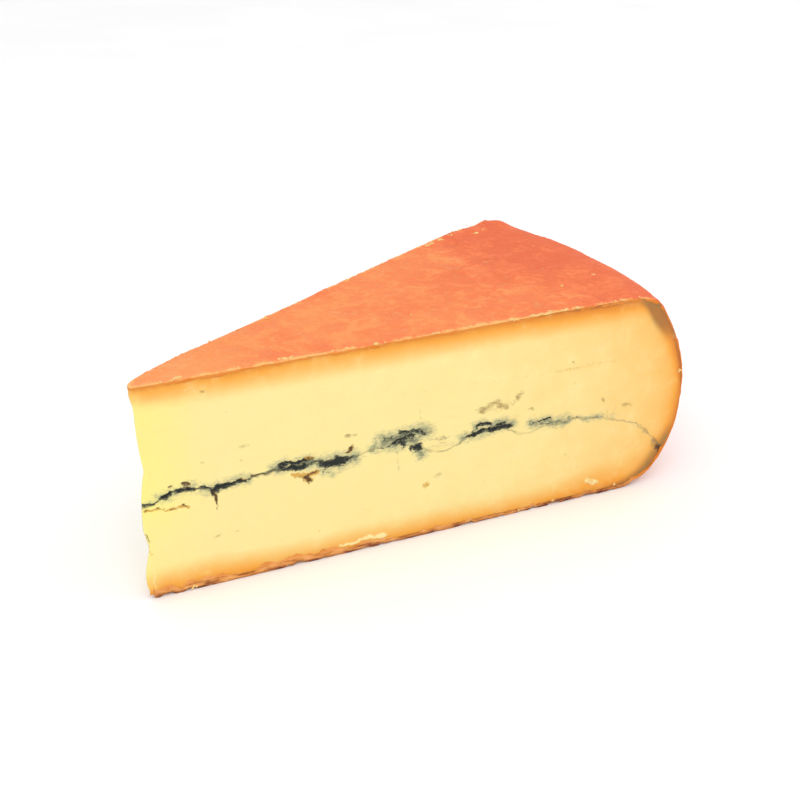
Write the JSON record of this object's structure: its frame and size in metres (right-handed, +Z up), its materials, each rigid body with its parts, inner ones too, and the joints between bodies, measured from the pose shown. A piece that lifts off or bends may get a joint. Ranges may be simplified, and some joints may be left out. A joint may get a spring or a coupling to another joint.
{
  "type": "cheese wedge",
  "caption": "Wedge cut from a round washed-rind cheese: flat top and base, bulging rind side, two plain cut faces and a blunt tip.",
  "frame": {"origin": "middle of the bounding box's base, on the flat base that the wedge stands on", "axes": "+Z up; +X runs along the middle of the wedge from its blunt tip to its rind; the two cut faces look to -Y and +Y"},
  "size_m": [0.1886, 0.101, 0.065],
  "materials": {
    "cheese": "pale yellow semi-soft paste with a thin dark ash line, inside an orange washed rind; moist satin cut faces and a dry, finely wrinkled rind"
  },
  "bodies": {
    "root": {"cheese_wedge": "cheese"}
  },
  "joints": []
}
